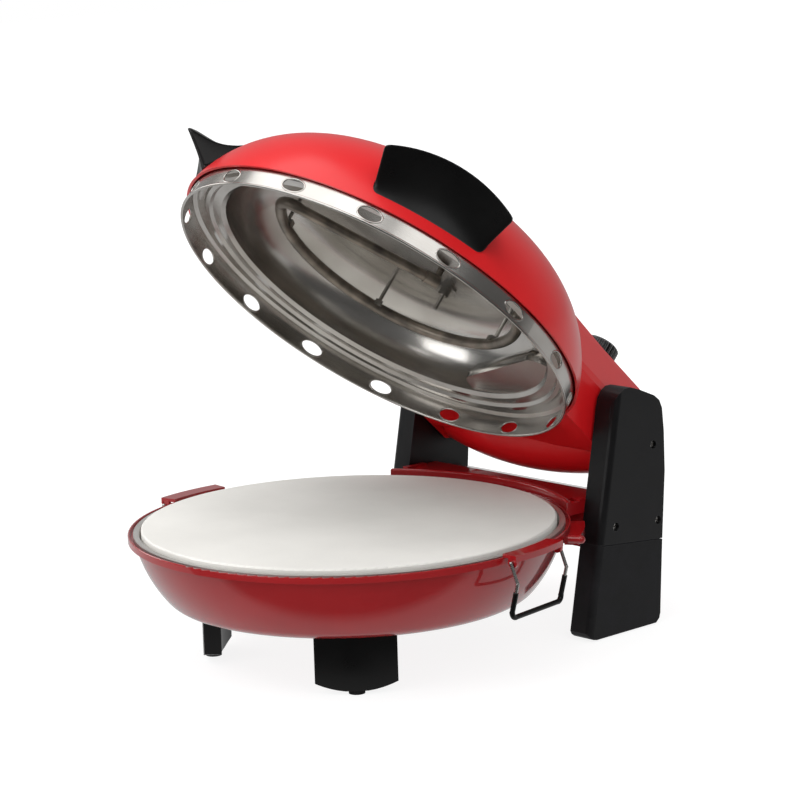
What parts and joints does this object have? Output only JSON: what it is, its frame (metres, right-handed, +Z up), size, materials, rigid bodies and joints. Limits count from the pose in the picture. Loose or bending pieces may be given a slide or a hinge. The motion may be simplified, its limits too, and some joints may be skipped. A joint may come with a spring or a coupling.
{
  "type": "electric pizza maker",
  "caption": "Countertop pizza maker: round heated base with a baking stone, domed lid with its own heating element hinged between rear pillars, side grips, knob and hanging side bails.",
  "frame": {"origin": "on the bench, under the middle of the part with its lid open in the rest pose", "axes": "+Z up, +Y from the front to the hinge side, +X to the side that carries the knob"},
  "size_m": [0.3586, 0.4278, 0.3952],
  "materials": {
    "red_enamel": "glossy baked enamel",
    "bright_steel": "polished sheet steel",
    "pale_stone": "fine grained refractory stone",
    "dark_tube": "dull dark sheathed heating tube",
    "black_plastic": "satin moulded",
    "charcoal_plastic": "satin moulded",
    "charcoal_grained": "fine grained moulded",
    "black_rubber": "matt",
    "pale_ceramic": "unglazed",
    "amber_plastic": "clear amber"
  },
  "bodies": {
    "base": {"lower_bowl": "red_enamel", "rear_bridge": "red_enamel", "collar_right": "red_enamel", "collar_left": "red_enamel", "bracket_right": "red_enamel", "bracket_left": "red_enamel", "stone_pan": "bright_steel", "lower_element_clips": "bright_steel", "pillar_screws_right": "bright_steel", "pillar_screws_left": "bright_steel", "hinge_pin_right": "bright_steel", "hinge_pin_left": "bright_steel", "lower_element": "dark_tube", "front_foot_right": "black_plastic", "front_foot_left": "black_plastic", "bridge_back_panel": "black_plastic", "cord_gland": "black_plastic", "pillar_right": "charcoal_plastic", "pillar_left": "charcoal_plastic", "pillar_base_right": "charcoal_grained", "pillar_base_left": "charcoal_grained", "foot_pads": "black_rubber", "pillar_pads": "black_rubber"},
    "lid": {"lid_dome": "red_enamel", "neck_barrel": "red_enamel", "reflector": "bright_steel", "reflector_brackets": "bright_steel", "upper_element": "dark_tube", "upper_element_hangers": "bright_steel", "thermostat_bulb": "bright_steel", "grip_right": "black_plastic", "grip_left": "black_plastic", "dial_plate": "black_plastic", "thermostat_body": "pale_ceramic", "pilot_lamp": "amber_plastic"},
    "knob": {"knob": "black_plastic", "knob_shaft": "bright_steel"},
    "stone": {"baking_stone": "pale_stone"},
    "bail_right": {"bail_wire_right": "bright_steel", "bail_sleeve_right": "black_plastic"},
    "bail_left": {"bail_wire_left": "bright_steel", "bail_sleeve_left": "black_plastic"}
  },
  "joints": [
    {"name": "lid_hinge", "type": "hinge", "parent": "base", "child": "lid", "pos_m": [0, 0.16113, 0.141], "axis": [-1, 0, 0], "range_deg": [-42.7, 20]},
    {"name": "knob_turn", "type": "hinge", "parent": "lid", "child": "knob", "pos_m": [0.038, 0.18017, 0.19555], "axis": [0, 0.6782, 0.7349], "range_deg": [0, 270]},
    {"name": "stone_lift", "type": "slide", "parent": "base", "child": "stone", "axis": [0, 0, 1], "range_m": [0, 0.03]},
    {"name": "bail_right_swing", "type": "hinge", "parent": "base", "child": "bail_right", "pos_m": [0.16863, -0.02367, 0.0975], "axis": [0.1478, -0.989, 0], "range_deg": [-15, 65]},
    {"name": "bail_left_swing", "type": "hinge", "parent": "base", "child": "bail_left", "pos_m": [-0.17018, -0.05928, 0.0975], "axis": [-0.061, 0.9981, 0], "range_deg": [-15, 65]}
  ]
}
